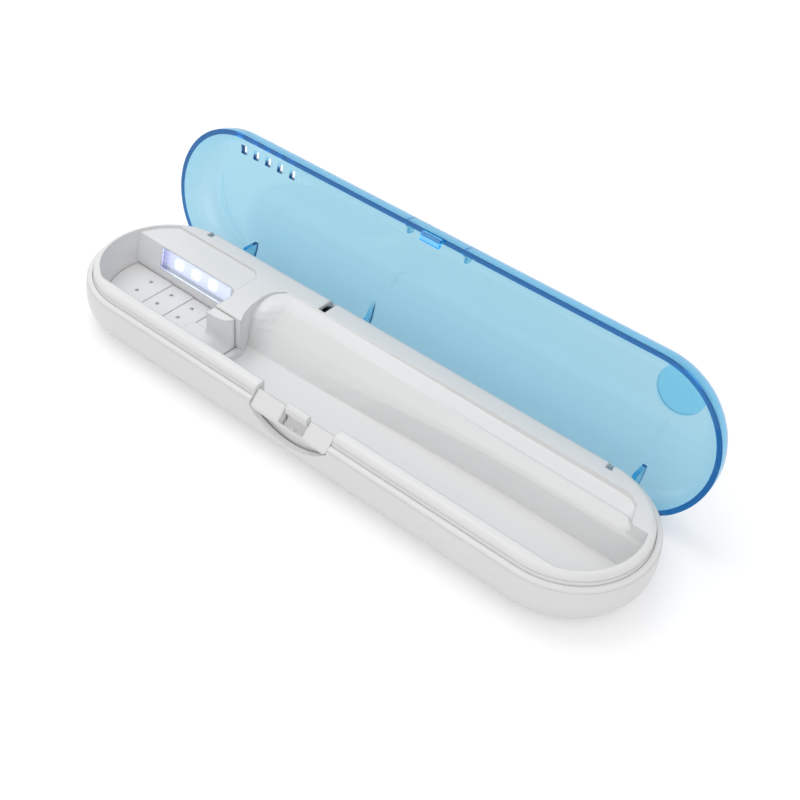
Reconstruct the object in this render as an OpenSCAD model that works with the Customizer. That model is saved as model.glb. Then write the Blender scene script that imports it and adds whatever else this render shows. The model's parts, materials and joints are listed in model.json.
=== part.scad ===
// Ultraviolet toothbrush travel case: a lower case with an inner tray, a removable drip tray,
// a lamp behind a clear window, two cells under the shelf, and a clear lid on two hinge arms.
// The case stands on z = 0, its length runs along x with the brush head at -x, and the hinge
// is at +y. Every piece is drawn where it stands with the lid open.

/* [Lower case] */
// Length of the lower case
case_len = 230; // [214:1:250]
// Width of the lower case
case_w = 58.4; // [57:0.1:62]
// Height of the ledge that the lid closes on
ledge_h = 17.2; // [16.9:0.1:18.4]
// Wall of the lower case
shell_wall = 1.9; // [1.5:0.1:2.1]
// Radius where the side turns into the underside
bottom_r = 9.3; // [8:0.1:10]
// Width of the ledge
ledge_w = 1.9; // [1.7:0.1:2.2]

/* [Inner tray] */
// Height of the tray's rim above the ledge
rim_h = 3.5; // [3.2:0.1:3.8]
// Wall of the tray and its pockets
tray_wall = 1.4; // [1.2:0.1:1.6]
// Distance from the end of the case to the pocket at that end
pocket_in = 5.5; // [5.2:0.1:6.2]
// Distance from the front of the case to the front wall of both pockets
front_in = 7.4; // [7.2:0.1:8.2]
// Distance from the back of the case to the back wall of the head bay
back_in = 24.4; // [23.8:0.1:25.2]
// Height of the floor of the handle channel
channel_floor = 6; // [5.6:0.1:7]
// Depth that the shelf lies below the rim
shelf_drop = 1.2; // [0.8:0.1:1.6]

/* [Drip tray] */
// Height of the highest land of the drip tray
drip_floor = 7.5; // [7.2:0.1:8.5]
// Step from one land to the next
drip_step = 0.3; // [0.1:0.05:0.4]
// Diameter of a drain hole
drain_d = 1.3; // [0.8:0.1:2]
// Distance between drain holes along the case
drain_pitch = 10.7; // [9:0.1:11.5]
// Distance between drain holes across the case
drain_row = 6.9; // [5:0.1:8]
// Gap all round the drip tray
drip_gap = 0.35; // [0.2:0.05:0.6]
// Radius in the corner of the neck groove
neck_r = 2.4; // [1.5:0.1:3]

/* [Lamp] */
// Length of the lamp window
window_len = 35; // [30:0.5:36]
// Height of the lamp window along its slope
window_h = 8.4; // [6:0.1:8.5]
// Lean of the window wall from upright
window_lean = 12; // [8:1:14]
// Distance between the lamps
led_pitch = 8.6; // [6:0.1:10]
// Width of one lamp
led_w = 3.5; // [2.5:0.1:4]

/* [Lid] */
// Depth of the lid
lid_h = 12.4; // [12:0.1:13.4]
// Wall of the lid
lid_wall = 1.9; // [1.6:0.1:2.1]
// Radius where the side of the lid turns into its top
lid_r = 10.8; // [9:0.1:11]
// Angle that the lid opens
open_angle = 99.5; // [96:0.5:99.5]
// Width of a vent
vent_w = 2.6; // [1.6:0.1:3.4]
// Length of a vent
vent_len = 3.6; // [2.4:0.1:5]
// Distance between vents
vent_pitch = 6; // [4.5:0.1:7]
// Diameter of the bare round recess in the lid
disc_d = 17; // [12:0.5:22]

/* [Hinge] */
// Distance of the hinge axis from the back of the case
hinge_in = 7.4; // [7.2:0.05:7.6]
// Height of the hinge axis
hinge_z = 8.9; // [8.8:0.05:9.3]
// Distance of the left hinge arm from the left end of the case
left_arm_in = 27; // [26.5:0.5:30]
// Distance of the right hinge arm from the right end of the case
right_arm_in = 29.5; // [27:0.5:31]
// Thickness of a hinge arm
arm_t = 1.6; // [1.2:0.1:2]
// Diameter of a hinge pin
pin_d = 3; // [2:0.1:3.4]

/* [Latch] */
// Place of the latch along the case
latch_x = -1; // [-4:0.5:4]
// Width of the latch button
latch_w = 32.4; // [28:0.5:36]
// Distance that the button can be pushed
latch_travel = 1.6; // [1.4:0.1:1.8]
// Height of the thumb recess at its middle
thumb_h = 6.2; // [5:0.1:6.6]
// Width of the latch hook
hook_w = 9; // [6:0.1:9.6]
// Distance between the three grip bumps
bump_pitch = 8.5; // [6:0.1:10]

/* [Power] */
// Diameter of a cell
cell_d = 10.4; // [9.8:0.1:10.6]
// Length of a cell with its tip
cell_len = 44.4; // [42:0.1:45]
// Distance of the cells from the back of the case
cell_in = 15.7; // [15.4:0.1:16]
// Place of the lid switch along the case
switch_x = -29; // [-31:0.5:-28]
// Travel of the lid switch
switch_travel = 0.8; // [0.4:0.1:1]
// Diameter of a wire
wire_d = 1.1; // [0.8:0.1:1.6]

/* [Hidden] */
$fn = 64;
eps = 0.01;

// Plan of the case: two half circles round end_x, joined by straight sides
half_w = case_w / 2;
end_x = (case_len - case_w) / 2;
belly_h = 0.7 * ledge_h;
shoulder_in = 0.7;
shoulder_r = 1;
top_half = half_w - shoulder_in;
inner_half = half_w - shell_wall;
inner_r = bottom_r - shell_wall;

// Pockets of the tray
pocket_r = half_w - pocket_in;
pocket_front = half_w - front_in;
bay_back = half_w - back_in;

// Rim and deck of the tray
seat_gap = 0.1;
rim_half = top_half - ledge_w;
rim_top = ledge_h + rim_h;
rim_r = 2.2;
rim_draft = 0.5;
skirt_h = 3.8;
deck_t = 1.6;
bay_floor = 3.6;
bay_r = 7;
front_r = 3;
bay_right = 39.1 - end_x;
bay_shoulder = 29.3 - end_x;
passage_y = half_w - 34.6;
passage_floor = 8;
channel_left = bay_right + 2.5;
seam_y = passage_y - 0.6;
drip_low = bay_floor + 0.3;
platform_h = 12;
platform_len = 7.5;
first_drain = -end_x - 9.6;
shelf_end = end_x + 16;
deck_sink = 0.9;
deck_back = half_w - 10.2;
deck_right = bay_shoulder - 1.5;

// Lamp, on the leaning wall of the head bay
window_x = 7.3 - end_x;
window_z = 10.5;
window_low = 0.5;
flange = 0.8;
led_x = window_x - 2.4;
led_z = 3.8;
board_t = 1.2;
led_t = 1.2;
board_back = 4.5;
board_len = window_len + 4;
board_h = window_h;

// Lid
lid_gap = 0.1;
lid_z = ledge_h + lid_gap;
lid_half = half_w - 0.45;
lid_top = lid_z + lid_h;
relief_y = half_w - 8.2;
relief_rise = 0.2;
panel_in = lid_h - lid_wall;
disc_x = end_x + 6.2;
disc_y = -half_w / 2;
disc_depth = 0.3;
vent_x = 3.6 - end_x;
vent_y = 12 - half_w;
vents = 5;

// Hinge arms, which rise behind the tray's rim and join the back wall of the lid
hinge_y = half_w - hinge_in;
hinge_left = left_arm_in - case_len / 2;
hinge_right = case_len / 2 - right_arm_in;
side_gap = 0.35;
eye_r = 2.9;
neck_front = hinge_y + 1.1;
neck_back = hinge_y + 3.8;
cheek_t = 2;
cheek_in = 0.9;
pin_gap = 0.04;
pin_len = arm_t + 2 * side_gap + 2 * cheek_t;
slot_low = 3.6;
finger_t = 2.2;
finger_gap = 0.4;
finger_low = 14.8;

// Ribs in the back corner of the lid
rib_t = 1.6;
rib_low = rim_top + 0.6;
rib_left = 3.5 - end_x;
rib_right = end_x + 4;
rib_middle = switch_x + 4.5;

// Latch
latch_gap = 0.3;
foot_out = half_w - 2.7;
face_back = half_w - 4.7;
well_outer = face_back - latch_travel - 0.9;
thumb_top = 15;
thumb_r = (pow(latch_w / 2, 2) + pow(thumb_h, 2)) / (2 * thumb_h);
lip_front = half_w - 3.2;
lip_low = 17.4;
notch_half = hook_w / 2 + 0.7;
spring_x = 10;
spring_z = 10;
spring_r = 1.5;
catch_w = 7.8;

// Power
cell_y = half_w - cell_in;
cell_gap = 0.3;
cell_z = shell_wall + cell_gap + cell_d / 2;
cells_left = -20.7;
cell_tip = 1.1;
plate_metal = 0.4;
plate_w = 8;
plate_h = 9;
spring_len = 5;
cells_right = cells_left + 2 * cell_len + 0.2;
bay_left_x = cells_left - 0.3;
bay_right_x = cells_right + 0.2 + spring_len;
door_gap = 0.3;
door_half = cell_d / 2 + 0.7;
door_lift = 0.25;
board_z = 10.5;
control_x0 = -41;
control_x1 = -24;
control_y0 = half_w - 18.2;
control_y1 = half_w - 3.8;
switch_y = half_w - 6.2;
switch_top = 16.9;
plunger_top = 19.3;
// Distance of the finger's end from the hinge axis, which keeps it clear of the plunger
finger_reach = norm([switch_y + 0.8 - hinge_y, plunger_top - switch_travel - hinge_z]) + 0.18;

// Screws, as plan positions
screws = [[-end_x - 11.2, half_w - 14.2], [bay_right - 3.8, half_w - 17.2], [end_x + 11.2, half_w - 14.2]];
post_r = 3;
post_top = 9.9;
boss_r = 2.6;
screw_r = 1.05;
head_r = 2;
head_low = 0.6;
head_h = 1.7;
screw_top = 14.5;

// Routes of the wires
lamp_route = [for (p = [[7.2, -11.7, 13.1], [0.7, -8.7, 13.5], [-7.3, -8.7, 14.5],
    [-12.8, -11.7, 14.5], [-15.3, -16.6, 14]]) p + [bay_right, half_w, 0]];
cell_route = [for (p = [[bay_right_x + 0.3, -15.7, 13.5], [bay_right_x + 0.3, -12.2, 14.2],
    [bay_right_x - 3.5, -7.2, 13.5], [bay_right_x - 13.5, -5.6, 12.6], [0, -5.6, 12.6],
    [-18, -7.2, 12.6], [-25, -11.2, 12.4]]) p + [0, half_w, 0]];

// Moves a piece drawn with the lid closed to where it stands with the lid open
module opened() {
    translate([0, hinge_y, hinge_z]) rotate([-open_angle, 0, 0])
        translate([0, -hinge_y, -hinge_z]) children();
}

// Sweeps a profile, drawn from the middle outwards, round both ends and along both sides
module capsule() {
    for (turn = [0, 180]) rotate([0, 0, turn]) translate([end_x, 0, 0])
        rotate([0, 0, -90]) rotate_extrude(angle = 180) children();
    rotate([90, 0, 90]) linear_extrude(2 * end_x, center = true) {
        children();
        mirror([1, 0]) children();
    }
}

// Extrudes a (y, z) profile along x
module along(x0, x1) {
    translate([x0, 0, 0]) rotate([90, 0, 90]) linear_extrude(x1 - x0) children();
}

// The piece that rounds off a corner whose sides run to -x and -y from the origin
module round_off(r) {
    difference() {
        translate([-r, -r]) square(r + 1);
        translate([-r, -r]) circle(r);
    }
}

module rounded(size, r) {
    translate([r, 0]) square([size[0] - 2 * r, size[1]]);
    translate([0, r]) square([size[0], size[1] - 2 * r]);
    for (x = [r, size[0] - r], y = [r, size[1] - r]) translate([x, y]) circle(r);
}

// Half profile of a bowl: half width, lowest and highest level, radius of its lower edge
module bowl_profile(half, low, high, r) {
    difference() {
        translate([0, low]) square([half, high - low]);
        translate([half, low]) mirror([0, 1]) round_off(r);
    }
}

// One unbroken tube of eight sides along a route
module tube(route, d) {
    sides = 8;
    last = len(route) - 1;
    function unit(v) = v / norm(v);
    function way(i) = unit(route[min(i + 1, last)] - route[max(i - 1, 0)]);
    function across(i) = unit(cross(way(i), [0, 0, 1]));
    rings = [for (i = [0:last], k = [0:sides - 1])
        let (a = 360 * k / sides, u = across(i), v = cross(way(i), u))
        route[i] + d / 2 * (cos(a) * u + sin(a) * v)];
    walls = [for (i = [0:last - 1], k = [0:sides - 1])
        let (a = i * sides + k, b = i * sides + (k + 1) % sides)
        each [[a, b, b + sides], [a, b + sides, a + sides]]];
    caps = [[for (k = [sides - 1:-1:0]) k], [for (k = [0:sides - 1]) last * sides + k]];
    polyhedron(rings, concat(walls, caps));
}

// Lower case

module shell_outer() {
    difference() {
        union() {
            square([half_w, belly_h]);
            polygon([[0, belly_h], [half_w, belly_h], [top_half, ledge_h], [0, ledge_h]]);
        }
        translate([half_w, 0]) mirror([0, 1]) round_off(bottom_r);
        translate([top_half + 0.05, ledge_h]) round_off(shoulder_r);
    }
}

module shell_inner() {
    bowl_profile(inner_half, shell_wall, ledge_h - skirt_h - 0.2, inner_r);
    translate([0, ledge_h - skirt_h - 0.3]) square([rim_half, skirt_h + 1]);
}

module thumb_lens(grow) {
    translate([latch_x, -half_w + 2, thumb_top - thumb_h + thumb_r]) rotate([90, 0, 0])
        cylinder(r = thumb_r + grow, h = 12, center = true, $fn = 128);
}

module hinge_slot(x, t) {
    translate([x - t / 2 - side_gap, rim_half - 2.5, slot_low])
        cube([t + 2 * side_gap, 10, ledge_h]);
}

module hinge_cheeks(x) {
    for (side = [-1, 1]) translate([x + side * (arm_t / 2 + side_gap + cheek_t / 2), 0, 0])
        intersection() {
            along(-cheek_t / 2, cheek_t / 2) union() {
                translate([hinge_y - 3.4, shell_wall - 0.5])
                    square([9, hinge_z - shell_wall + 0.5]);
                translate([hinge_y, hinge_z]) circle(3.4);
            }
            translate([-x, 0, 0]) capsule()
                bowl_profile(half_w - cheek_in, cheek_in, ledge_h - 1, bottom_r - cheek_in);
        }
}

module base_shell() {
    color("whitesmoke") difference() {
        union() {
            difference() {
                capsule() shell_outer();
                capsule() shell_inner();
            }
            for (s = screws) translate([s[0], s[1], shell_wall - 0.5])
                cylinder(r = post_r, h = post_top - shell_wall + 0.5);
            for (x = [hinge_left, hinge_right]) hinge_cheeks(x);
            for (x = [bay_left_x - plate_metal - 1.4, bay_right_x + plate_metal + 0.2])
                translate([x, cell_y - door_half, shell_wall - 0.5]) cube([1.2, 2 * door_half, 9]);
            for (x = [control_x0 + 3, control_x1 - 4])
                translate([x, control_y0 + 5, shell_wall - 0.5])
                    cylinder(r = 1.6, h = board_z - 0.1 - shell_wall + 0.5);
        }
        for (s = screws) translate([s[0], s[1], -eps]) {
            cylinder(r = screw_r + 0.1, h = post_top + 1);
            cylinder(r = head_r + 0.3, h = head_low + head_h + 0.1);
        }
        for (x = [hinge_left, hinge_right]) {
            hinge_slot(x, arm_t);
            translate([x - pin_len / 2, hinge_y, hinge_z]) rotate([0, 90, 0])
                cylinder(d = pin_d, h = pin_len);
        }
        // Notch in the ledge that the switch finger swings through
        translate([switch_x - finger_t / 2 - finger_gap, rim_half - 1, finger_low])
            cube([finger_t + 2 * finger_gap, 6, ledge_h]);
        translate([bay_left_x + 0.3, cell_y - door_half, -1])
            cube([bay_right_x - bay_left_x - 0.6, 2 * door_half, shell_wall + 2]);
        // Window for the latch button: its lens in the side wall, and the gap in the ledge above
        intersection() {
            thumb_lens(latch_gap);
            translate([latch_x - latch_w / 2 - latch_gap, -half_w - 1, 5])
                cube([latch_w + 2 * latch_gap, half_w - inner_half + 3.5, ledge_h]);
        }
    }
}

module battery_door() {
    low = door_lift;
    x0 = bay_left_x + 0.3 + door_gap;
    len_x = bay_right_x - bay_left_x - 0.6 - 2 * door_gap;
    y0 = cell_y - door_half + door_gap;
    wide = 2 * (door_half - door_gap);
    color("gainsboro") difference() {
        union() {
            translate([x0, y0, low]) cube([len_x, wide, shell_wall - low]);
            for (x = [x0 + 0.6, x0 + len_x - 2]) translate([x, cell_y - 3, shell_wall - eps])
                cube([1.4, 6, 0.2]);
        }
        // Finger grooves
        for (i = [0:4]) translate([x0 + len_x - 14 + 2 * i, cell_y, low - eps])
            rotate([90, 0, 0]) cylinder(r = 0.5, h = wide - 4, center = true, $fn = 24);
    }
}

// Inner tray

// Leaning wall of the head bay, in a frame whose z runs up the slope and whose y points behind it
module on_window() {
    translate([0, bay_back, window_z]) rotate([-window_lean, 0, 0]) children();
}

module rim_profile(inset) {
    top = rim_top - inset;
    foot = rim_half - seat_gap - inset;
    head = foot - rim_draft;
    difference() {
        union() {
            translate([0, ledge_h - skirt_h]) square([foot, skirt_h]);
            polygon([[0, ledge_h - eps], [foot, ledge_h - eps], [head, top], [0, top]]);
        }
        translate([head + 0.15, top]) round_off(rim_r);
    }
}

// Deep part of the head bay, grown by g for the outside of its wall
module bay_form(g) {
    intersection() {
        capsule() bowl_profile(pocket_r + g, bay_floor - g, rim_top + 1, bay_r + g);
        union() {
            difference() {
                along(-end_x - pocket_r - g - 1, bay_shoulder + g) bay_section(bay_back + g, g);
                bay_corner(g);
            }
            along(bay_shoulder - 3, bay_right + g) bay_section(passage_y + g, g);
        }
    }
}

// Rounds the corner of the head bay between the window wall and the neck rest
module bay_corner(g) {
    translate([bay_shoulder + g, bay_back + 2.1 + g, bay_floor - g - 1]) linear_extrude(30)
        round_off(5.9 + g);
}

module bay_section(back, g) {
    difference() {
        translate([-pocket_front - g, bay_floor - g]) square([back + pocket_front + g, 30]);
        translate([-pocket_front - g, bay_floor - g]) rotate(180) round_off(front_r + g);
    }
}

// The wedge that the leaning window wall adds to the head bay
module bay_wedge(g) {
    intersection() {
        capsule() bowl_profile(pocket_r + g, bay_floor, rim_top + 1, bay_r + g);
        difference() {
            on_window() translate([-end_x - pocket_r - 2, -8, -0.3])
                cube([bay_shoulder + end_x + pocket_r + 2 + g, 8 + g, 16]);
            bay_corner(g);
        }
    }
}

// Sections of the surface behind the handle channel: its steep left end, then the left and the
// right section. A point holds its distance from the back of the case and its height.
end_back = [[29, 0], [27.7, 3.8], [27, 7.2], [26, 10.2], [24, 12.2], [20.4, 13.4],
    [11.8, 14.4], [10.9, 15.5]];
left_back = [[29.5, 0], [26.2, 3.8], [23, 7.2], [19.6, 10.2], [17, 12.2], [15, 13.2],
    [11.8, 14.4], [10.9, 15.5]];
right_back = [[25.2, 0], [22.8, 9.2], [21.9, 10.4], [18.9, 12.3], [18.3, 12.8], [17.6, 12.5],
    [11.3, 13.4], [11.2, 15.5]];
function ease(t) = t <= 0 ? 0 : t >= 1 ? 1 : t * t * (3 - 2 * t);
// Where the shelf's back edge runs, which comes forward round its right end
function reach(x) = let (d = (x - shelf_end + 8) / 8)
    half_w - (d <= 0 ? 11 : d < 1 ? 19.8 - 8.8 * sqrt(1 - d * d) : min(21.85, 5.8 + d * 14));
function back_point(x, i) = let (
    t = ease((x + 36) / 100),
    w = ease((channel_left + 6 - x) / 8),
    p = w > 0 ? left_back[i] * (1 - w) + end_back[i] * w
        : left_back[i] * (1 - t) + right_back[i] * t)
    [min(half_w - p[0], reach(x) - 0.04 * (7 - i)), channel_floor + p[1] * (rim_top - channel_floor) / 14.7
        - (i == 6 ? shelf_drop - 1.2 : 0)];
stations = [channel_left - 8, channel_left - 2, channel_left, channel_left + 2, channel_left + 4,
    channel_left + 6.5, -24, -12, 0, 12, 24, 36, 50, 64, shelf_end - 8,
    shelf_end - 5, shelf_end - 2, shelf_end, shelf_end + 1.2, end_x + pocket_r + 1];

// Space over the sloping back of the channel, or its wall where g is above 0
module back_form(g) {
    n = len(left_back);
    ring = n + 2;
    top = rim_top + (g > 0 ? -0.6 : 2);
    xs = [for (i = [0:len(stations) - 1])
        stations[i] + (i == 0 ? -g : i == len(stations) - 1 ? g : 0)];
    points = [for (x = xs) each concat(
        [for (i = [0:n - 1]) let (p = back_point(x, i))
            [x, p[0] + g, min(p[1] - (i == 0 ? g : 0.8 * g), top - 0.1)]],
        [[x, back_point(x, n - 1)[0] + g, top], [x, seam_y, top]])];
    last = len(xs) - 1;
    foot = [for (x = xs) [x, seam_y, channel_floor - g]];
    all = concat(points, foot);
    m = len(points);
    function at(i, k) = k == ring ? m + i : i * ring + k;
    walls = [for (i = [0:last - 1], k = [0:ring]) let (j = (k + 1) % (ring + 1))
        each [[at(i, k), at(i + 1, k), at(i + 1, j)], [at(i, k), at(i + 1, j), at(i, j)]]];
    caps = [[for (k = [0:ring]) at(0, k)], [for (k = [ring:-1:0]) at(last, k)]];
    intersection() {
        polyhedron(all, concat(walls, caps));
        translate([0, 0, channel_floor - g]) linear_extrude(30) channel_plan(g);
    }
}

// Plan of the channel's left end behind the passage
module channel_plan(g) {
    left = channel_left - g;
    back = half_w - 10.8 + g;
    bulge = 4.3;
    front = passage_y - 2.6;
    difference() {
        polygon([[left, front], [left, passage_y], [left - 2.2, passage_y + 3.8],
            [left - 3.7, passage_y + 9.1], [left - bulge, passage_y + 14.9], [left - bulge, back],
            [case_len, back], [case_len, front]]);
        translate([left - bulge, back]) mirror([1, 0]) round_off(8 + g);
    }
}

module channel_form(g) {
    top = rim_top + (g > 0 ? -0.6 : 2);
    intersection() {
        capsule() bowl_profile(pocket_r + g, channel_floor - g, top, front_r + g);
        union() {
            along(channel_left - g, end_x + pocket_r + g) difference() {
                translate([-pocket_front - g, channel_floor - g])
                    square([pocket_front + g + seam_y + 1, top - channel_floor + g]);
                translate([-pocket_front - g, channel_floor - g]) rotate(180) round_off(2 + g);
            }
            back_form(g);
        }
    }
}

module lamp_deck(low, high, grow) {
    intersection() {
        capsule() translate([0, low]) square([pocket_r + grow, high - low]);
        translate([0, 0, low]) linear_extrude(high - low) difference() {
            translate([-end_x - pocket_r - 2, bay_back])
                square([deck_right + grow + end_x + pocket_r + 2, deck_back + grow - bay_back]);
            translate([deck_right + grow, deck_back + grow]) round_off(5 + grow);
        }
    }
}

module latch_gap_form() {
    translate([latch_x - latch_w / 2 - latch_gap, -rim_half - 1, channel_floor + 1])
        cube([latch_w + 2 * latch_gap, rim_half + 1.1 - pocket_front, 30]);
}

module tray_notch(x, t, gap, front) {
    translate([x - t / 2 - gap, front, ledge_h - skirt_h - 1])
        cube([t + 2 * gap, rim_half + 1 - front, 20]);
}

module inner_tray() {
    color("white") difference() {
        union() {
            difference() {
                capsule() rim_profile(0);
                capsule() intersection() {
                    rim_profile(deck_t);
                    translate([0, ledge_h - skirt_h - 1])
                        square([half_w, rim_top - deck_t - ledge_h + skirt_h + 1]);
                }
                translate([-case_len / 2, -case_w / 2, ledge_h - skirt_h - 1])
                    cube([case_len, case_w, 1 + eps]);
            }
            intersection() {
                union() {
                    bay_form(tray_wall);
                    bay_wedge(tray_wall);
                    channel_form(tray_wall);
                }
                capsule() bowl_profile(pocket_r + tray_wall, bay_floor - tray_wall, rim_top - 0.5,
                    bay_r + tray_wall);
            }
            lamp_deck(rim_top - deck_sink - deck_t, rim_top - deck_sink, 1.5);
            for (s = screws) translate([s[0], s[1], post_top + 0.1])
                cylinder(r = boss_r, h = rim_top - 0.7 - post_top);
            // Rails that hold the lamp board
            for (x = [window_x - board_len / 2 - 1.5, window_x + board_len / 2 + 0.2]) on_window()
                translate([x, tray_wall - 0.3, 0.2]) cube([1.3, board_back - tray_wall + 1.2, board_h]);
        }
        bay_form(0);
        bay_wedge(0);
        channel_form(0);
        lamp_deck(rim_top - deck_sink, rim_top + 1, 0);
        // Passage for the neck of the brush between the two pockets
        translate([bay_right - 1, -pocket_front, passage_floor])
            cube([channel_left - bay_right + 2, pocket_front + passage_y, 30]);
        on_window() {
            translate([window_x - window_len / 2 - 0.1, -5, window_low - 0.1])
                cube([window_len + 0.2, 10, window_h + 0.2]);
            translate([window_x - window_len / 2 - flange - 0.1, tray_wall - 0.1,
                window_low - flange / 2 - 0.1])
                    cube([window_len + 2 * flange + 0.2, 3, window_h + flange / 2 + 0.2]);
        }
        for (x = [hinge_left, hinge_right]) tray_notch(x, arm_t, side_gap, neck_front - 0.7);
        tray_notch(switch_x, finger_t, finger_gap, switch_y - 4.7);
        latch_gap_form();
        for (s = screws) translate([s[0], s[1], post_top]) cylinder(r = screw_r + 0.05, h = 6);
    }
    // Wall behind the latch button, where its springs push
    color("white") translate([latch_x - latch_w / 2 - 2, -well_outer, channel_floor - tray_wall])
        cube([latch_w + 4, tray_wall, thumb_top - channel_floor + tray_wall]);
}

// Drip tray

// Cross-section of the neck groove, open to the front and upwards
module groove_section(x, side, low) {
    translate([x, 0, 0]) rotate([90, 0, 90]) linear_extrude(eps) union() {
        translate([-half_w, low]) square([half_w + side - neck_r, 20]);
        translate([-half_w, low + neck_r]) square([half_w + side, 20]);
        translate([side - neck_r, low + neck_r]) circle(neck_r);
    }
}

// Groove for the neck, which flares out towards the handle channel
module neck_groove() {
    front = -pocket_front;
    cuts = [[bay_shoulder - 1, 12.1, platform_h], [bay_shoulder + 4.5, 12.2, platform_h - 1],
        [bay_right - 2.3, 13, platform_h - 3], [bay_right + 0.4, 15.6, passage_floor]];
    for (i = [0:len(cuts) - 2]) hull() {
        groove_section(cuts[i][0], front + cuts[i][1], cuts[i][2]);
        groove_section(cuts[i + 1][0], front + cuts[i + 1][1], cuts[i + 1][2]);
    }
}

// Raised platform in front of the neck rest
module platform() {
    wide = half_w + passage_y - 3.6;
    translate([bay_shoulder - platform_len, -half_w, drip_low])
        linear_extrude(platform_h - drip_low) difference() {
            square([platform_len + 1, wide]);
            translate([0, wide]) mirror([1, 0]) round_off(2.5);
        }
}

module drip_tray() {
    under = drip_floor - 1.9;
    left = -case_len / 2;
    edges = concat([left], [for (i = [0:2]) first_drain + (i + 0.57) * drain_pitch], [bay_shoulder]);
    color("white") difference() {
        intersection() {
            bay_form(-drip_gap);
            union() {
                difference() {
                    for (i = [0:3]) translate([edges[i], -half_w, drip_low])
                        cube([edges[i + 1] - edges[i] + 0.5, case_w,
                            drip_floor - i * drip_step - drip_low]);
                    intersection() {
                        bay_form(-drip_gap - 1.2);
                        translate([left, -half_w, 0])
                            cube([bay_shoulder - left, case_w, under - 0.9]);
                    }
                }
                // Neck rest
                translate([bay_shoulder, -half_w, drip_low])
                    cube([bay_right - bay_shoulder - drip_gap, case_w, rim_top - 0.5 - drip_low]);
                platform();
            }
        }
        neck_groove();
        for (i = [0:2], j = [0, 1])
            translate([first_drain + i * drain_pitch, bay_back - 5.1 - j * drain_row, 0])
                cylinder(d = drain_d, h = 12, $fn = 24);
    }
}

// Lamp

module lamp_window() {
    color("lightcyan", 0.5) on_window() {
        translate([window_x - window_len / 2, 0.2, window_low])
            cube([window_len, tray_wall - 0.1, window_h]);
        translate([window_x - window_len / 2 - flange, tray_wall, window_low - flange / 2])
            cube([window_len + 2 * flange, flange, window_h + flange / 2]);
    }
}

module lamp_board() {
    color("mediumpurple") on_window()
        translate([window_x - board_len / 2, board_back, 0.2]) cube([board_len, board_t, board_h]);
}

module lamp_leds() {
    color("lavender") on_window() for (i = [-1:1])
        translate([led_x + i * led_pitch, board_back - led_t, led_z]) {
            translate([-led_w / 2, 0, -led_w / 2]) cube([led_w, led_t, led_w]);
            rotate([90, 0, 0]) cylinder(r = led_w / 2 - 0.5, h = 0.4);
        }
}

// Lid switch and control board

module control_board() {
    color("seagreen") difference() {
        translate([control_x0, control_y0, board_z])
            cube([control_x1 - control_x0, control_y1 - control_y0, board_t]);
        translate([control_x0 + 3, control_y1 - 3, board_z - 1])
            cylinder(r = 1, h = board_t + 2, $fn = 24);
    }
    color("black") translate([control_x0 + 4, control_y0 + 1.5, board_z + board_t])
        cube([5, 4, 1.4]);
}

module switch_body() {
    low = board_z + board_t;
    color("black") difference() {
        union() {
            translate([switch_x - 3.2, switch_y - 3.4, low]) cube([6.4, 4.8, switch_top - low]);
            translate([switch_x - 1.2, switch_y - 3.4, switch_top - eps]) cube([2.4, 4.8, 1.1]);
        }
        translate([switch_x - 1, switch_y - 1, plunger_top - 3.6]) cube([2, 2, 5]);
    }
}

module switch_plunger() {
    color("dimgray") translate([switch_x - 0.8, switch_y - 0.8, plunger_top - 2.4])
        cube([1.6, 1.6, 2.4]);
}

// Cells and contacts

module cell(x) {
    translate([x, cell_y, cell_z]) rotate([0, 90, 0]) {
        translate([0, 0, cell_tip]) cylinder(d = cell_d, h = cell_len - cell_tip);
        cylinder(d = 0.36 * cell_d, h = cell_len);
    }
}

module battery_cells() {
    color("slategray") for (i = [0, 1]) cell(cells_left + i * (cell_len + 0.2));
}

module contact_plates() {
    color("silver") for (x = [bay_left_x - plate_metal, bay_right_x]) {
        translate([x, cell_y - plate_w / 2, shell_wall + 0.5]) cube([plate_metal, plate_w, plate_h]);
        translate([x, cell_y - 1.2, shell_wall + plate_h]) cube([plate_metal, 2.4, 2]);
    }
}

module contact_spring() {
    color("silver") translate([bay_right_x - spring_len, cell_y, cell_z]) rotate([0, 90, 0])
        difference() {
            cylinder(r1 = 1.8, r2 = 3.6, h = spring_len - 0.05);
            translate([0, 0, -eps]) cylinder(r1 = 1.2, r2 = 3, h = spring_len + 0.1);
        }
}

module lamp_wires() {
    color("firebrick") for (dz = [-0.65, 0.65] * wire_d)
        tube([for (p = lamp_route) p + [0, 0, dz]], wire_d);
}

module battery_wires() {
    color("black") tube(cell_route, wire_d);
}

// Fasteners

module hinge_pins() {
    color("silver") for (x = [hinge_left, hinge_right])
        translate([x - pin_len / 2 + 0.1, hinge_y, hinge_z]) rotate([0, 90, 0])
            cylinder(d = pin_d - 2 * pin_gap, h = pin_len - 0.2);
}

module case_screws() {
    color("silver") for (s = screws) translate([s[0], s[1], head_low]) difference() {
        union() {
            cylinder(r = head_r, h = head_h);
            cylinder(r = screw_r - 0.05, h = screw_top - head_low);
        }
        for (turn = [0, 90]) rotate(turn) translate([-1.3, -0.3, -eps]) cube([2.6, 0.6, 0.8]);
    }
}

// Lid, drawn closed

// Points along the inside of the lid's back corner, sunk a little into its wall
function inner_corner(a0, a1) = [for (a = [a0:15:a1])
    [lid_half - lid_r, lid_top - lid_r] + (lid_r - lid_wall + 0.4) * [cos(a), sin(a)]];

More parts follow.
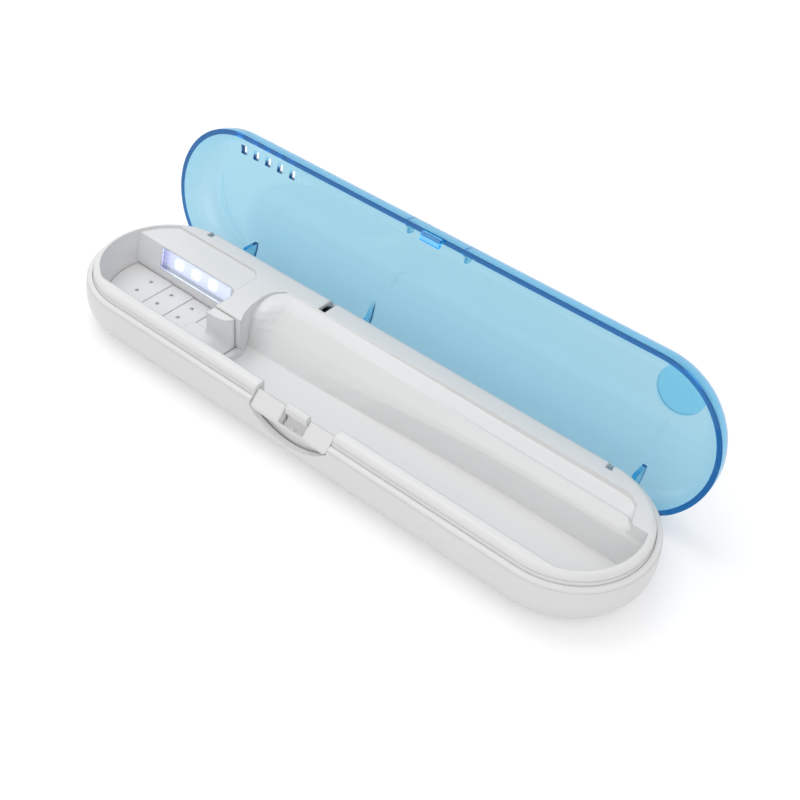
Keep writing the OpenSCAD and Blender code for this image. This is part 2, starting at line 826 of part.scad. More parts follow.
module hinge_arm(x) {
    top = rim_top + 0.4;
    wall = lid_half - lid_wall + 0.4;
    difference() {
        along(x - arm_t / 2, x + arm_t / 2) union() {
            polygon([[hinge_y - 1.5, hinge_z], [neck_front, hinge_z + 5], [neck_front, top - 1],
                [neck_front + 1, top], [wall, top], [wall, lid_z + 0.5], [neck_back, lid_z - 0.2],
                [neck_back, hinge_z + 2], [hinge_y + 2, hinge_z]]);
            translate([hinge_y, hinge_z]) circle(eye_r);
        }
        translate([x - arm_t, hinge_y, hinge_z]) rotate([0, 90, 0])
            cylinder(d = pin_d, h = 2 * arm_t);
    }
}

// Finger that presses the lid switch, with an end that is round about the hinge axis
module switch_finger() {
    tip = [for (a = [-1:3:17]) [hinge_y, hinge_z] + finger_reach * [sin(a), cos(a)]];
    along(switch_x - finger_t / 2, switch_x + finger_t / 2)
        polygon(concat(tip, [[switch_y + 1.8, plunger_top + 1.2]], inner_corner(15, 45),
            [[switch_y - 1.4, plunger_top + 3.2]]));
}

// Rib between the back wall and the top of the lid; foot is a list of the points of its free edge
module lid_rib(x, foot) {
    along(x - rib_t / 2, x + rib_t / 2) polygon(concat(inner_corner(15, 90), foot));
}

module lid_catch() {
    y0 = -lid_half + 0.5;
    along(-catch_w / 2, catch_w / 2)
        polygon([[y0, lid_z + 2], [y0, lid_z - 0.9], [y0 + 0.6, lid_z - 1.7],
            [0.7 - lip_front, lid_z - 1.8], [0.9 - lip_front, lid_z - 1.1],
            [0.75 - lip_front, lid_z - 0.4], [-lip_front - 0.7, lid_z - 0.3],
            [-lip_front - 0.7, lid_z + 2]]);
}

module catch_gusset(x) {
    intersection() {
        along(x - 0.6, x + 0.6) polygon([[0.4 - lid_half, lid_z + 0.3], [lid_wall - lid_half, lid_z + 0.3],
            [1.7 - lip_front, lid_z + 3.4], [3.6 - lip_front, lid_z + 3.4],
            [3.6 - lip_front, lid_z + 7.1], [0.4 - lid_half, lid_z + 7.1]]);
        translate([0, 0, lid_z]) capsule() difference() {
            square([lid_half - 0.5, lid_h - 0.5]);
            translate([lid_half - 0.5, lid_h - 0.5]) round_off(lid_r);
        }
    }
}

module lid() {
    color("deepskyblue", 0.6) opened() {
        difference() {
            union() {
                difference() {
                    translate([0, 0, lid_z]) capsule() difference() {
                        square([lid_half, lid_h]);
                        translate([lid_half, lid_h]) round_off(lid_r);
                    }
                    translate([0, 0, lid_z - 1]) capsule() difference() {
                        square([lid_half - lid_wall, panel_in + 1]);
                        translate([lid_half - lid_wall, panel_in + 1]) round_off(lid_r - lid_wall);
                    }
                    // Relief that lets the rear edge roll past the ledge
                    along(-case_len, case_len) polygon([[relief_y, lid_z - eps],
                        [relief_y + 10, lid_z - eps], [relief_y + 10, lid_z + 10 * relief_rise]]);
                }
                for (x = [hinge_left, hinge_right]) hinge_arm(x);
                for (x = [rib_left, rib_right]) lid_rib(x, [[hinge_y - 5.8, lid_z + panel_in + 0.2],
                    [hinge_y - 4.9, rib_low], [hinge_y + 4.2, rib_low]]);
                lid_rib(rib_middle, [[hinge_y - 9.6, lid_z + panel_in + 0.2],
                    [hinge_y - 2.8, rib_low + 3.9], [hinge_y - 1, rib_low], [hinge_y + 4.2, rib_low]]);
                switch_finger();
                lid_catch();
                for (x = [-12, 12]) catch_gusset(x);
            }
            for (i = [0:vents - 1])
                translate([vent_x + (i - (vents - 1) / 2) * vent_pitch - vent_w / 2,
                    vent_y - vent_len / 2, lid_top - 4]) cube([vent_w, vent_len, 6]);
            difference() {
                translate([disc_x, disc_y, lid_top - 3]) cylinder(d = disc_d, h = 4);
                translate([0, 0, lid_z]) capsule() difference() {
                    square([lid_half - disc_depth, lid_h - disc_depth]);
                    translate([lid_half - disc_depth, lid_h - disc_depth])
                        round_off(lid_r - disc_depth);
                }
            }
        }
    }
}

// Latch

module thumb_face() {
    y0 = -top_half - 0.2;
    difference() {
        polygon([[y0, thumb_top], [y0, thumb_top - 0.9], [-foot_out - 0.1, thumb_top - 9.4],
            [-face_back, thumb_top - 9.4], [-face_back, rim_top - 1.1],
            [-face_back - 0.1, rim_top - 1.1]]);
        translate([-half_w - 1.4, thumb_top - 5.6]) circle(4.9);
    }
}

module latch_button() {
    x0 = latch_x - latch_w / 2;
    color("white") {
        difference() {
            union() {
                intersection() {
                    along(x0, x0 + latch_w) thumb_face();
                    thumb_lens(0);
                }
                // Foot behind the side wall, which holds the button in
                translate([x0 + 1, -foot_out, 7.6]) cube([latch_w - 2, foot_out - face_back, 5.6]);
            }
            // Notch that the lid's catch drops into
            translate([-notch_half, 0.8 - half_w, 12.5]) cube([2 * notch_half, 6.4, 10]);
        }
        // Hook, with a lip over the catch
        along(-hook_w / 2, hook_w / 2) difference() {
            polygon([[0.6 - face_back, 12.4], [0.6 - face_back, rim_top], [0.8 - lip_front, rim_top],
                [-lip_front, rim_top - 0.7], [-lip_front, lip_low], [-lip_front - 0.4, 14.2],
                [-lip_front - 0.4, 12.4]]);
            translate([-lip_front - 0.5, lip_low - 1.7]) circle(2);
        }
        // Grip bumps
        for (i = [-1:1]) translate([i * bump_pitch, 1 - top_half, thumb_top - 1.1])
            sphere(r = 1, $fn = 24);
    }
}

module latch_springs() {
    color("silver") for (side = [-1, 1])
        translate([latch_x + side * spring_x, 0.05 - face_back, spring_z])
            rotate([-90, 0, 0]) difference() {
                cylinder(r = spring_r, h = face_back - well_outer - 0.1, $fn = 32);
                translate([0, 0, -eps]) cylinder(r = spring_r - 0.4, h = 5, $fn = 32);
            }
}

base_shell();
battery_door();
inner_tray();
drip_tray();
lamp_window();
lamp_board();
lamp_leds();
control_board();
switch_body();
switch_plunger();
battery_cells();
contact_plates();
contact_spring();
hinge_pins();
case_screws();
lamp_wires();
battery_wires();
lid();
latch_button();
latch_springs();
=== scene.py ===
# %% [markdown]
# # A toothbrush travel case with an ultraviolet lamp
#
# The real object is a long white case with an inner tray, a lit window in its head bay and a
# clear blue lid that stands open. Its solids were modelled in CAD and packed beforehand.
# They are the frame of this scene: they keep their places, and the script gives them their
# finishes, adds the coil springs that are too fine for the solids, and sets up the light and
# the camera of the photograph. Lengths are in metres, and MM turns millimetres into them.

import json
import math

import bpy
from mathutils import Matrix, Vector


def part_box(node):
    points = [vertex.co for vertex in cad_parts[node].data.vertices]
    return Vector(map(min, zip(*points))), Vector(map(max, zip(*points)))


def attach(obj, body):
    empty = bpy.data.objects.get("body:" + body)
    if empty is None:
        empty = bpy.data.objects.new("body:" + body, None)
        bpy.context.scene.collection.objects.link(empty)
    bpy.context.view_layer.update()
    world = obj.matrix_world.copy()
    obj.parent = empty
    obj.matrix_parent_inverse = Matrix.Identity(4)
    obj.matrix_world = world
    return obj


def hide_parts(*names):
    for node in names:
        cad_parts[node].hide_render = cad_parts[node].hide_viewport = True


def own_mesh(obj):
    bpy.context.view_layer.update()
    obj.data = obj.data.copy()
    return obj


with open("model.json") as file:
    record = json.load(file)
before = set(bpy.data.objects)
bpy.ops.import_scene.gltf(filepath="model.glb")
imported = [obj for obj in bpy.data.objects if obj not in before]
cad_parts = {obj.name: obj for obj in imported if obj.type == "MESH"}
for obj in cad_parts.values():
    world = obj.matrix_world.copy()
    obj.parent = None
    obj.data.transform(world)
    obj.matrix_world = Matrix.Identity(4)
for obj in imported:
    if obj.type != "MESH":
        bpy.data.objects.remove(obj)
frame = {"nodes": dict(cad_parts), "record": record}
nodes = frame["nodes"]
joints = {joint["name"]: joint for joint in frame["record"]["behaviour"]["joints"]}
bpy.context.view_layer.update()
MM = 0.001

# %% [markdown]
# ## Camera
#
# A render can be compared with a photograph only from the photographer's place. The camera
# could be moved by eye until the outlines agree. Here its angles, its offset and its lens
# were worked out from where the round ends of the case and the lid lie in the photograph.
# It looks down at the case from the front and from the right.

# %% Camera angles and axes
CAMERA_AZIMUTH = math.radians(34.951)
CAMERA_ELEVATION = math.radians(41.729)
CAMERA_ROLL = math.radians(6.342)


def camera_axes():
    """The camera's right, up and back directions."""
    flat = math.cos(CAMERA_ELEVATION)
    back = Vector((
        math.sin(CAMERA_AZIMUTH) * flat,
        -math.cos(CAMERA_AZIMUTH) * flat,
        math.sin(CAMERA_ELEVATION),
    ))
    right = Vector((math.cos(CAMERA_AZIMUTH), math.sin(CAMERA_AZIMUTH), 0))
    rolled = Matrix.Rotation(CAMERA_ROLL, 3, back)
    return rolled @ right, rolled @ back.cross(right), back


axes = Matrix(camera_axes()).transposed()
print("the camera looks along", [round(-v, 3) for v in axes.col[2]])

# %% Place the camera
CAMERA_OFFSET = Vector((-17.580, -3.867, -401.426)) * MM
CAMERA_LENS = 53.97
CAMERA_RISE = 4.1 * MM

camera_data = bpy.data.cameras.new("photo_camera")
camera_data.lens = CAMERA_LENS
camera = bpy.data.objects.new("photo_camera", camera_data)
camera_place = Vector((0, 0, CAMERA_RISE)) - axes @ CAMERA_OFFSET
camera.matrix_world = Matrix.Translation(camera_place) @ axes.to_4x4()
bpy.context.scene.collection.objects.link(camera)
bpy.context.scene.camera = camera
print("the camera stands at", [round(v, 3) for v in camera.location])

# %% [markdown]
# ## The surface of moulded plastic
#
# Moulded plastic is never perfectly even: it has a fine grain, it is a little shinier in some
# patches than in others, and its edges are softly rounded. Each of these could be modelled,
# but as nodes they cost no geometry. All materials share them, so they are one node group
# that is built once. It puts out a roughness, a patch mask and a normal, and each material
# sets its own scale, depth and edge radius. The Bevel node only bends the shading at an edge,
# so the outline of the solids stays as it is.

# %% Make the shared surface group
PATCH_SCALE = 22.0
PATCH_DETAIL = 2.0
GRAIN_DETAIL = 3.0
GRAIN_HEIGHT = 0.2 * MM
EDGE_SAMPLES = 6
GROUP_INPUTS = ("Grain scale", "Grain depth", "Roughness", "Patches", "Edge radius")
GROUP_OUTPUTS = (
    ("Roughness", "NodeSocketFloat"),
    ("Patch", "NodeSocketFloat"),
    ("Normal", "NodeSocketVector"),
)


def add_noise(tree, place, detail):
    """Noise over the object's own coordinates."""
    noise = tree.nodes.new("ShaderNodeTexNoise")
    noise.inputs["Detail"].default_value = detail
    tree.links.new(place.outputs["Object"], noise.inputs["Vector"])
    return noise


def make_surface_group():
    """A group that turns object coordinates into a roughness, a patch mask and a normal."""
    group = bpy.data.node_groups.new("moulded_surface", "ShaderNodeTree")
    for name in GROUP_INPUTS:
        group.interface.new_socket(name, in_out="INPUT", socket_type="NodeSocketFloat")
    for name, kind in GROUP_OUTPUTS:
        group.interface.new_socket(name, in_out="OUTPUT", socket_type=kind)
    new = group.nodes.new
    link = group.links.new
    inputs = new("NodeGroupInput")
    outputs = new("NodeGroupOutput")
    place = new("ShaderNodeTexCoord")

    # Shinier and duller patches: the roughness swings about the material's own value
    patch = add_noise(group, place, PATCH_DETAIL)
    patch.inputs["Scale"].default_value = PATCH_SCALE
    swing = new("ShaderNodeMath")
    swing.operation = "SUBTRACT"
    swing.inputs[1].default_value = 0.5
    link(patch.outputs["Fac"], swing.inputs[0])
    rough = new("ShaderNodeMath")
    rough.operation = "MULTIPLY_ADD"
    link(swing.outputs[0], rough.inputs[0])
    link(inputs.outputs["Patches"], rough.inputs[1])
    link(inputs.outputs["Roughness"], rough.inputs[2])

    # Fine grain on top of softly rounded edges
    grain = add_noise(group, place, GRAIN_DETAIL)
    link(inputs.outputs["Grain scale"], grain.inputs["Scale"])
    edge = new("ShaderNodeBevel")
    edge.samples = EDGE_SAMPLES
    link(inputs.outputs["Edge radius"], edge.inputs["Radius"])
    bump = new("ShaderNodeBump")
    bump.inputs["Distance"].default_value = GRAIN_HEIGHT
    link(grain.outputs["Fac"], bump.inputs["Height"])
    link(inputs.outputs["Grain depth"], bump.inputs["Strength"])
    link(edge.outputs["Normal"], bump.inputs["Normal"])

    link(rough.outputs[0], outputs.inputs["Roughness"])
    link(patch.outputs["Fac"], outputs.inputs["Patch"])
    link(bump.outputs["Normal"], outputs.inputs["Normal"])
    return group


surface_group = make_surface_group()
print("sockets of the group:", [item.name for item in surface_group.interface.items_tree])

# %% [markdown]
# ## From the surface to a material
#
# A material is one Principled shader with the group in front of it. The patch mask also moves
# the colour a little way between two close shades, as in real plastic, whose pigment is
# never mixed perfectly. What a material has beyond that, such as clearness or light of its
# own, is passed on by the name of the shader's socket.

# %% Define the material helper
SMALL_EDGE = 0.2 * MM


def make_material(name, colours, rough, metal=0.0, grain=(900.0, 0.05), patches=0.06,
                  edge=SMALL_EDGE, **sockets):
    """A Principled material between its first and last colour, with the shared surface.

    The grain is its scale and its depth.
    """
    material = bpy.data.materials.new(name)
    material.use_nodes = True
    tree = material.node_tree
    shader = tree.nodes["Principled BSDF"]

    # The shared surface, with this material's own numbers
    surface = tree.nodes.new("ShaderNodeGroup")
    surface.node_tree = surface_group
    for socket, value in zip(GROUP_INPUTS, (*grain, rough, patches, edge)):
        surface.inputs[socket].default_value = value

    # Two close shades, in patches
    blend = tree.nodes.new("ShaderNodeMix")
    blend.data_type = "RGBA"
    blend.inputs["A"].default_value = (*colours[0], 1)
    blend.inputs["B"].default_value = (*colours[-1], 1)
    tree.links.new(surface.outputs["Patch"], blend.inputs["Factor"])
    tree.links.new(blend.outputs["Result"], shader.inputs["Base Color"])
    tree.links.new(surface.outputs["Roughness"], shader.inputs["Roughness"])
    tree.links.new(surface.outputs["Normal"], shader.inputs["Normal"])
    shader.inputs["Metallic"].default_value = metal
    for socket, value in sockets.items():
        shader.inputs[socket.replace("_", " ")].default_value = value
    return material


print("a material sets:", ", ".join(GROUP_INPUTS))

# %% [markdown]
# ## White plastics
#
# The lower case and the latch are satin white, and the tray inside is a little glossier. Both
# are neutral: any tint in the render should come from the light through the lid. The tray's
# moulded corners are rounder than those of the case, so its edge radius is larger.

# %% Make the white plastics
PLASTIC_IOR = 1.46

white_case = make_material(
    "case_white", [(0.79, 0.79, 0.79), (0.82, 0.82, 0.82)], 0.34,
    edge=0.6 * MM, IOR=PLASTIC_IOR,
)
white_tray = make_material(
    "tray_white", [(0.80, 0.80, 0.80), (0.83, 0.83, 0.83)], 0.30,
    edge=0.9 * MM, IOR=PLASTIC_IOR,
)
print("white plastics:", white_case.name, white_tray.name)

# %% [markdown]
# ## Boards, switch, cells, metal and wires
#
# These pieces are hidden or nearly so. They could all be one grey, but the battery door drops
# away in one pose and the lamps light their board, so each gets a plausible colour. Metal is
# the same shader with its Metallic value at one and a finer, deeper grain, which reads as
# plating.

# %% Make the finishes of the small parts
board_green = make_material(
    "board_green", [(0.01, 0.10, 0.04), (0.02, 0.14, 0.06)], 0.45
)
board_white = make_material(
    "board_white", [(0.70, 0.68, 0.80), (0.78, 0.76, 0.86)], 0.5
)
switch_black = make_material(
    "switch_black", [(0.012, 0.012, 0.014), (0.02, 0.02, 0.022)], 0.45
)
cell_jacket = make_material(
    "cell_jacket", [(0.05, 0.07, 0.10), (0.07, 0.09, 0.13)], 0.3, metal=0.4
)
steel = make_material(
    "steel", [(0.55, 0.55, 0.57), (0.66, 0.66, 0.67)], 0.25, metal=1.0, grain=(2400, 0.08)
)
wire_red = make_material(
    "wire_red", [(0.45, 0.02, 0.02), (0.52, 0.03, 0.03)], 0.4
)
wire_black = make_material(
    "wire_black", [(0.015, 0.015, 0.015), (0.03, 0.03, 0.03)], 0.4
)
print("materials so far:", len(bpy.data.materials))

# %% [markdown]
# ## Masks
#
# The lid and the window change their colour at certain places. A picture could be painted for
# that, but the mesh would have to be unwrapped for it. Masks that are made from the object's
# own coordinates need no unwrapping and have no pixels. Both pieces lean, so the coordinates
# are first turned back about the line from which they lean. After that a mask is a plain
# ramp between two numbers, and it mixes two colours.

# %% Define the mask helpers


def add_turned_place(tree, centre, angle):
    """Object coordinates, turned about the x direction through a centre, as x, y and z."""
    place = tree.nodes.new("ShaderNodeTexCoord")
    turn = tree.nodes.new("ShaderNodeMapping")
    turn.inputs["Rotation"].default_value = (angle, 0, 0)
    turn.inputs["Location"].default_value = centre - Matrix.Rotation(angle, 3, "X") @ centre
    tree.links.new(place.outputs["Object"], turn.inputs["Vector"])
    parts = tree.nodes.new("ShaderNodeSeparateXYZ")
    tree.links.new(turn.outputs["Vector"], parts.inputs["Vector"])
    return parts


def add_ramp(tree, value, start, end, low=0.0, high=1.0):
    """A straight ramp from low, where the value is start, to high, where it is end."""
    ramp = tree.nodes.new("ShaderNodeMapRange")
    levels = {"From Min": start, "From Max": end, "To Min": low, "To Max": high}
    for socket, number in levels.items():
        ramp.inputs[socket].default_value = number
    tree.links.new(value, ramp.inputs["Value"])
    return ramp.outputs["Result"]


def add_mix(tree, factor, first, second):
    """A mix from the first colour, where the factor is zero, to the second, where it is one."""
    mix = tree.nodes.new("ShaderNodeMix")
    mix.data_type = "RGBA"
    mix.inputs["A"].default_value = (*first, 1)
    mix.inputs["B"].default_value = (*second, 1)
    tree.links.new(factor, mix.inputs["Factor"])
    return mix.outputs["Result"]


print("mask helpers: turned coordinates, a ramp and a mix of two colours")

# %% [markdown]
# ## The clear blue lid
#
# The lid is dyed all through, so it is darker where light has a longer way in it. A tinted
# surface alone would look equally blue at the panel and at the rim. So most of the colour is
# in the volume: Volume Absorption takes out red, and a little green, along the way.
#
# Two places need more. The rim's flat face shines deep blue, because light that is caught in
# the wall comes out there. A renderer cuts such long paths off and leaves the face black, so
# a mask below the rim's level adds that light as a faint emission, of which the rest of the
# lid gets a trace. The bare round recess near one end looks bluer than the panel around it,
# which a stronger tint gives inside a circle.

# %% Values of the lid
OPEN_ANGLE = math.radians(joints["lid_hinge"]["range_deg"][1])
HINGE = Vector(joints["lid_hinge"]["pos_m"])
RIM_LEVEL = 17.3 * MM
DISC_PLACE = Vector((92.0, -14.6, 0)) * MM
DISC_RADIUS = 8.5 * MM
PANEL_TINT = (0.78, 0.77, 0.745)
DISC_TINT = (0.35, 0.62, 0.72)
PANEL_GLOW = (0.0, 0.02, 0.045)
RIM_GLOW = (0.005, 0.10, 0.25)
DYE_COLOUR = (0.01, 0.70, 0.91)
DYE_DENSITY = 350.0
LID_IOR = 1.47
print("the lid stands open by", round(math.degrees(OPEN_ANGLE), 1), "degrees")

# %% Make the lid's material


def add_disc_mask(tree, place):
    """One inside the round recess, measured in the plan of the closed lid."""
    plan = tree.nodes.new("ShaderNodeCombineXYZ")
    tree.links.new(place.outputs["X"], plan.inputs["X"])
    tree.links.new(place.outputs["Y"], plan.inputs["Y"])
    away = tree.nodes.new("ShaderNodeVectorMath")
    away.operation = "DISTANCE"
    away.inputs[1].default_value = DISC_PLACE
    tree.links.new(plan.outputs["Vector"], away.inputs[0])
    return add_ramp(tree, away.outputs["Value"], DISC_RADIUS + 0.1 * MM, DISC_RADIUS)


def make_lid_material():
    """Clear blue plastic: a smooth clear surface round a volume that takes out red."""
    material = make_material(
        "lid_blue", [PANEL_TINT], 0.03, grain=(300.0, 0.01), patches=0.03, edge=0.0,
        IOR=LID_IOR, Transmission_Weight=1.0, Emission_Strength=1.0,
    )
    tree = material.node_tree
    shader = tree.nodes["Principled BSDF"]
    closed = add_turned_place(tree, HINGE, OPEN_ANGLE)
    rim = add_ramp(tree, closed.outputs["Z"], RIM_LEVEL + 0.3 * MM, RIM_LEVEL + 0.1 * MM)
    glow = add_mix(tree, rim, PANEL_GLOW, RIM_GLOW)
    tree.links.new(glow, shader.inputs["Emission Color"])
    tint = add_mix(tree, add_disc_mask(tree, closed), PANEL_TINT, DISC_TINT)
    tree.links.new(tint, shader.inputs["Base Color"])
    dye = tree.nodes.new("ShaderNodeVolumeAbsorption")
    dye.inputs["Color"].default_value = (*DYE_COLOUR, 1)
    dye.inputs["Density"].default_value = DYE_DENSITY
    tree.links.new(dye.outputs["Volume"], tree.nodes["Material Output"].inputs["Volume"])
    return material


lid_blue = make_lid_material()
print("lid material nodes:", len(lid_blue.node_tree.nodes))

# %% [markdown]
# ## The lit window
#
# Three small lamps sit on a board behind a clear window, and in the photograph the whole window
# glows bluish white. Strong lamps alone would give three hot spots and a dark gap below the
# board. So the lamps are mild, and the window gets a painted glow: an emission that stands in
# for the lamps' light spreading through its slightly milky plastic. At its left end the
# photograph shows small violet marks of lamp light one above another. A mask paints them as
# violet glow: it is striped from top to bottom and fades out to the right. A picture in the
# window would do the same, but its lines would be less easy to move.

# %% Values of the window
WINDOW_FOOT = Vector((0, 4.8, 10.5)) * MM
WINDOW_LEAN = math.radians(12)
MARKS_END = -93.6 * MM
MARKS_FADE = 0.8 * MM
MARKS_PITCH = 0.9 * MM
# Painted lamp light: the window's emission, bluish white all over and violet at the marks of
# its left end.
PAINTED_LAMP_GLOW = (0.80, 0.90, 1.05)
PAINTED_VIOLET_GLOW = (0.20, 0.18, 0.75)

low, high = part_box("lamp_window")
print("the window runs from x", round(low.x / MM, 1), "to", round(high.x / MM, 1), "mm")

# %% Make the window's and the lamps' materials


def add_math(tree, operation, first, second):
    """One Math node on two values from other nodes."""
    node = tree.nodes.new("ShaderNodeMath")
    node.operation = operation
    tree.links.new(first, node.inputs[0])
    tree.links.new(second, node.inputs[1])
    return node.outputs[0]


def add_marks_mask(tree, place):
    """Small marks of painted violet lamp light above one another at the left end of the window.
    """
    stripes = tree.nodes.new("ShaderNodeMath")
    stripes.operation = "PINGPONG"
    stripes.inputs[1].default_value = MARKS_PITCH
    tree.links.new(place.outputs["Z"], stripes.inputs[0])
    rows = add_ramp(tree, stripes.outputs[0], MARKS_PITCH / 3, MARKS_PITCH * 2 / 3)
    end = add_ramp(tree, place.outputs["X"], MARKS_END + MARKS_FADE, MARKS_END)
    return add_math(tree, "MULTIPLY", rows, end)


def make_window_material():
    """Slightly milky clear plastic, with a painted glow that stands in for the light of the
    lamps behind it.
    """
    material = make_material(
        "window_clear", [(0.93, 0.94, 1.0)], 0.12, grain=(500.0, 0.02), edge=0.0,
        IOR=1.45, Transmission_Weight=1.0, Emission_Strength=0.21,
    )
    tree = material.node_tree
    upright = add_turned_place(tree, WINDOW_FOOT, WINDOW_LEAN)
    # The emission is painted lamp light: bluish white over the window, violet where the marks
    # are.
    glow = add_mix(tree, add_marks_mask(tree, upright), PAINTED_LAMP_GLOW, PAINTED_VIOLET_GLOW)
    tree.links.new(glow, tree.nodes["Principled BSDF"].inputs["Emission Color"])
    return material


window_clear = make_window_material()
lamp_violet = make_material(
    "lamp_violet", [(0.5, 0.5, 0.9)], 0.3,
    Emission_Color=(0.75, 0.85, 1.0, 1), Emission_Strength=0.6,
)
print("window material nodes:", len(window_clear.node_tree.nodes))

# %% [markdown]
# ## Dress the solids
#
# On the real case each part comes out of its own mould or is bought ready made, so each has
# one finish. The solids could be dressed by hand one after another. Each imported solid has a
# name, though, so one table says which finish it gets, and a loop can't forget one. Only the
# material slots change, and the shapes stay as they are.

# %% Give every solid its finish
finishes = {
    "base_shell": white_case, "battery_door": white_case, "latch_button": white_case,
    "inner_tray": white_tray, "drip_tray": white_tray, "lid": lid_blue,
    "lamp_window": window_clear, "lamp_leds": lamp_violet, "lamp_board": board_white,
    "control_board": board_green, "switch_body": switch_black, "switch_plunger": switch_black,
    "battery_cells": cell_jacket, "contact_plates": steel, "contact_spring": steel,
    "hinge_pins": steel, "case_screws": steel, "latch_springs": steel,
    "lamp_wires": wire_red, "battery_wires": wire_black,
}
for name, material in finishes.items():
    mesh = nodes[name].data
    mesh.materials.clear()
    mesh.materials.append(material)
print("nodes without a finish:", sorted(set(nodes) - set(finishes)))

# %% [markdown]
# ## Contact spring
#
# The spring that presses on the cells is a coil of wire. The solid is a plain cone there. A
# curve with a round bevel would make a coil too, but a ring that the Screw modifier winds up
# shows how one small profile gives the whole spring. The ring lies in a plane that holds the
# axis, it is moved out by the coil's radius, and the modifier turns it and carries it along
# at the same time. The two open ends are then filled.

# %% Define the coil
WIRE_SIDES = 10
COIL_STEPS = 24
SMOOTH_ANGLE = math.radians(50)


def close_ends():
    """Fills the open ends of the active piece and turns its faces outwards."""
    bpy.ops.object.mode_set(mode="EDIT")
    bpy.ops.mesh.select_all(action="DESELECT")
    bpy.ops.mesh.select_mode(type="EDGE")
    bpy.ops.mesh.select_non_manifold()
    bpy.ops.mesh.edge_face_add()
    bpy.ops.mesh.select_all(action="SELECT")
    bpy.ops.mesh.normals_make_consistent(inside=False)
    bpy.ops.object.mode_set(mode="OBJECT")


def wind_coil(name, start, radius, wire, length, turns, heading=0.0):
    """A coil from a start point, along x turned by the heading, wound from a ring of wire."""
    bpy.ops.object.select_all(action="DESELECT")
    bpy.ops.mesh.primitive_circle_add(vertices=WIRE_SIDES, radius=wire / 2)
    coil = bpy.context.object
    coil.name = name
    bpy.ops.object.mode_set(mode="EDIT")
    bpy.ops.mesh.select_all(action="SELECT")
    bpy.ops.transform.translate(value=(0, radius, 0))
    bpy.ops.object.mode_set(mode="OBJECT")
    screw = coil.modifiers.new("wind", "SCREW")
    screw.axis = "X"
    screw.steps = COIL_STEPS
    screw.render_steps = COIL_STEPS
    screw.iterations = turns
    screw.screw_offset = (length - wire) / turns
    screw.use_merge_vertices = False
    bpy.ops.object.modifier_apply(modifier=screw.name)
    close_ends()
    bpy.ops.object.shade_smooth_by_angle(angle=SMOOTH_ANGLE)

    # From the origin to its place: the coil then starts at x = 0 and is turned about z
    first = min(vertex.co.x for vertex in coil.data.vertices)
    coil.data.transform(Matrix.Translation((-first, 0, 0)))
    coil.data.transform(Matrix.Translation(start) @ Matrix.Rotation(heading, 4, "Z"))
    coil.data.materials.append(steel)
    return coil


print("a coil has", WIRE_SIDES, "faces round its wire and", COIL_STEPS, "steps in a turn")

# %% Wind the contact spring
CONTACT_RADIUS = 2.6 * MM
CONTACT_WIRE = 0.6 * MM
CONTACT_TURNS = 5

low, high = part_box("contact_spring")
middle = (low + high) / 2
contact_coil = wind_coil(
    "contact_coil", (low.x, middle.y, middle.z), CONTACT_RADIUS, CONTACT_WIRE,
    high.x - low.x, CONTACT_TURNS,
)
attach(contact_coil, "case")
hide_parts("contact_spring")
print("contact coil:", len(contact_coil.data.polygons), "faces")

# %% [markdown]
# ## Latch springs
#
# Two short coils push the latch button out. When the button goes in they shorten towards the
# wall behind them. They could be two pieces, but they always move alike, so they are joined to
# one.

# %% Wind the latch springs
LATCH_SLEEVE_RADIUS = 1.5 * MM
LATCH_COIL_RADIUS = 1.25 * MM
LATCH_WIRE = 0.4 * MM
LATCH_TURNS = 4
BACKWARDS = math.radians(90)

low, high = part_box("latch_springs")
depth = high.y - low.y
latch_pair = []
for x in (low.x + LATCH_SLEEVE_RADIUS, high.x - LATCH_SLEEVE_RADIUS):
    start = (x, low.y, (low.z + high.z) / 2)
    latch_pair.append(wind_coil(
        "latch_coils", start, LATCH_COIL_RADIUS, LATCH_WIRE, depth, LATCH_TURNS, BACKWARDS
    ))

# %% Join them
latch_coils = latch_pair[0]
bpy.ops.object.select_all(action="DESELECT")
for coil in latch_pair:
    coil.select_set(True)
bpy.context.view_layer.objects.active = latch_coils
bpy.ops.object.join()
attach(latch_coils, "case")
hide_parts("latch_springs")
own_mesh(latch_coils)
print("latch coils:", len(latch_coils.data.polygons), "faces")

# %% [markdown]
# ## Floor and background
#
# A product photograph has a white ground with only a soft shadow left on it. More light would
# make the ground white, but it would bleach the case too. So the floor and the world stay
# at a plain level for the light that falls on the case. Only rays that the camera sees, also
# in a reflection or through the lid, find them brighter. Light Path tells these rays from
# the rest, and its Diffuse Depth leaves out rays that have bounced off a dull surface.

# %% Define the mask of seen rays


def add_seen_ray(tree):
    """One for a ray that the camera sees straight, mirrored or through the lid, else zero."""
    rays = tree.nodes.new("ShaderNodeLightPath")
    seen = rays.outputs["Is Camera Ray"]
    for other in ("Is Transmission Ray", "Is Glossy Ray"):
        seen = add_math(tree, "MAXIMUM", seen, rays.outputs[other])
    direct = add_ramp(tree, rays.outputs["Diffuse Depth"], 0.6, 0.4)
    return add_math(tree, "MULTIPLY", seen, direct)


# White has to come out as white, which the default view transform prevents
bpy.context.scene.view_settings.view_transform = "Standard"
print("view transform:", bpy.context.scene.view_settings.view_transform)

# %% Lay the floor
FLOOR_SIZE = 3.0
FLOOR_DROP = 0.2 * MM
FLOOR_COLOUR = (0.85, 0.85, 0.86)
FLOOR_ROUGHNESS = 0.9
FLOOR_GLOW = 0.27


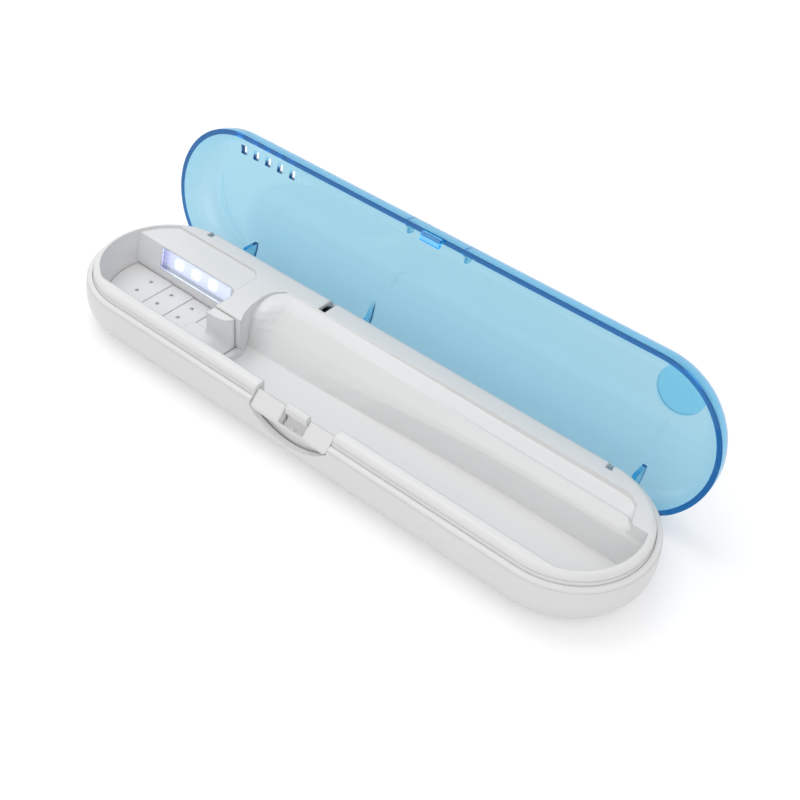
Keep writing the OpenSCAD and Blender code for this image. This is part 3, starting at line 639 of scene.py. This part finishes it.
def make_floor_material():
    """A white floor that the camera sees as white, and that keeps the case's soft shadow."""
    material = bpy.data.materials.new("backdrop")
    material.use_nodes = True
    tree = material.node_tree
    shader = tree.nodes["Principled BSDF"]
    shader.inputs["Base Color"].default_value = (*FLOOR_COLOUR, 1)
    shader.inputs["Roughness"].default_value = FLOOR_ROUGHNESS
    shader.inputs["Emission Color"].default_value = (1, 1, 1, 1)
    glow = add_ramp(tree, add_seen_ray(tree), 0.0, 1.0, 0.0, FLOOR_GLOW)
    tree.links.new(glow, shader.inputs["Emission Strength"])
    return material


bpy.ops.object.select_all(action="DESELECT")
bpy.ops.mesh.primitive_plane_add(size=FLOOR_SIZE, location=(0, 0, -FLOOR_DROP))
floor = bpy.context.object
floor.name = "floor"
floor.data.materials.append(make_floor_material())
print("floor:", FLOOR_SIZE, "m wide")

# %% Set the world
SKY_LEVEL = 0.72

world = bpy.data.worlds.new("studio")
world.use_nodes = True
bpy.context.scene.world = world
sky = world.node_tree
background = sky.nodes["Background"]
background.inputs["Color"].default_value = (1, 1, 1, 1)
level = add_ramp(sky, add_seen_ray(sky), 0.0, 1.0, SKY_LEVEL, 1.0)
sky.links.new(level, background.inputs["Strength"])
print("world nodes:", len(sky.nodes))

# %% [markdown]
# ## Lamps
#
# The photograph was lit from all sides, as in a light tent. The even world gives most of
# that. Two large square lamps add a little direction: one high up on the left, which
# brightens the upward faces, and a weaker one from the front right, which lifts the side
# that faces the camera. Sun lamps would do too, but their shadows have harder edges.

# %% Place the lamps


def add_area_light(name, place, size, power):
    """A soft square white lamp that points at the middle of the case."""
    data = bpy.data.lights.new(name, "AREA")
    data.size = size
    data.energy = power
    lamp = bpy.data.objects.new(name, data)
    lamp.location = place
    lamp.rotation_mode = "QUATERNION"
    lamp.rotation_quaternion = (-Vector(place)).to_track_quat("-Z", "Y")
    bpy.context.scene.collection.objects.link(lamp)
    return lamp


key = add_area_light("key", (-0.35, 0.15, 0.75), size=0.6, power=1.9)
fill = add_area_light("fill", (0.45, -0.70, 0.45), size=0.7, power=1.0)
print("lamps:", [(lamp.name, round(lamp.data.energy, 2)) for lamp in (key, fill)])
